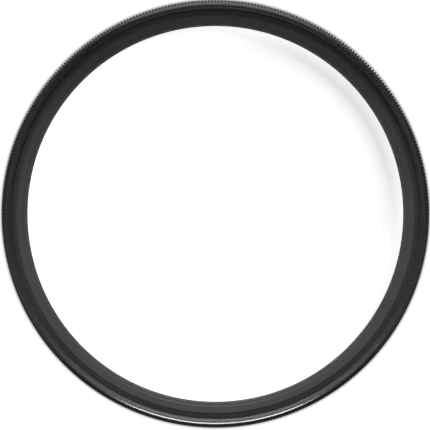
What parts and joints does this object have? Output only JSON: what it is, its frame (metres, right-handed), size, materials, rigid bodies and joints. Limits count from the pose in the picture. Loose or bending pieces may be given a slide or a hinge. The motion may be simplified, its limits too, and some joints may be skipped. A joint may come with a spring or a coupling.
{
  "type": "screw-in lens filter",
  "caption": "Round screw-in lens filter: a clear glass disc held in a black knurled ring by a retaining ring, with a male thread behind and a female thread in front.",
  "frame": {"origin": "on the optical axis, at the ring's rear end, which is the end of the rear thread", "axes": "+Z along the optical axis, from the rear thread to the front of the ring; X and Y are any two square directions across it"},
  "size_m": [0.0798, 0.0798, 0.0079],
  "materials": {
    "black_anodised": "satin black anodised, turned and knurled",
    "clear_glass": "clear optical glass, polished and coated",
    "matte_black": "matte black anodised"
  },
  "bodies": {
    "root": {"filter_ring": "black_anodised", "glass_disc": "clear_glass", "retaining_ring": "matte_black"}
  },
  "joints": []
}
